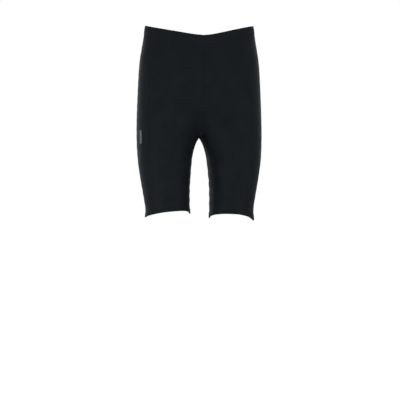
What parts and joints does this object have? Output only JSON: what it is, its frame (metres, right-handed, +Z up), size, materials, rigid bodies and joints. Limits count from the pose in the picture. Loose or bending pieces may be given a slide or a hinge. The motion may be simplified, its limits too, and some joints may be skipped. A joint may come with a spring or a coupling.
{
  "type": "cycling shorts",
  "caption": "Close-fitting stretch cycling shorts to mid-thigh, in the hollow form they have when worn, with an elastic waistband and turned leg hems.",
  "frame": {"origin": "middle of the waist opening, level with the middle of the waistband at the side seams", "axes": "+Z up along the wearer's body, -Y towards the wearer's front, +X towards the wearer's left"},
  "size_m": [0.3569, 0.245, 0.556],
  "materials": {
    "jersey": "satin",
    "waistband": "matte",
    "hem": "satin"
  },
  "bodies": {
    "root": {"front_left": "jersey", "front_right": "jersey", "back_left": "jersey", "back_right": "jersey", "waistband": "waistband", "hem_left": "hem", "hem_right": "hem"}
  },
  "joints": []
}
